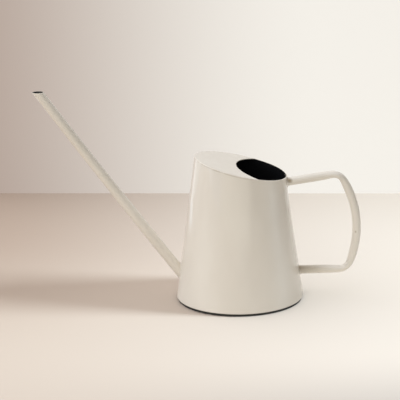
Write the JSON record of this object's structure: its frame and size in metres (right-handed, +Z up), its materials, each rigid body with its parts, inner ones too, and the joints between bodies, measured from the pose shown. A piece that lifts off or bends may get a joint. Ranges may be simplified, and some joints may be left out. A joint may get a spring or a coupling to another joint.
{
  "type": "watering can",
  "caption": "Indoor watering can: tapered enamelled steel body with a sloping half-covered mouth, a long straight spout and a bent tube handle.",
  "frame": {"origin": "middle of the foot pad's underside, on the floor", "axes": "+Z up, spout along -X, handle along +X, Y across"},
  "size_m": [0.3817, 0.15, 0.2554],
  "materials": {
    "cream_enamel": "glossy cream enamel on steel",
    "dark_lining": "black satin lining on steel",
    "foot_rubber": "matt black rubber"
  },
  "bodies": {
    "root": {"body_wall": "cream_enamel", "body_seam_weld": "cream_enamel", "base_disc": "dark_lining", "base_seam_weld": "cream_enamel", "foot_pad": "foot_rubber", "top_cover": "cream_enamel", "cover_weld": "dark_lining", "spout_tube": "cream_enamel", "spout_weld": "cream_enamel", "handle_tube": "cream_enamel", "handle_top_weld": "cream_enamel", "handle_bottom_weld": "cream_enamel"}
  },
  "joints": []
}
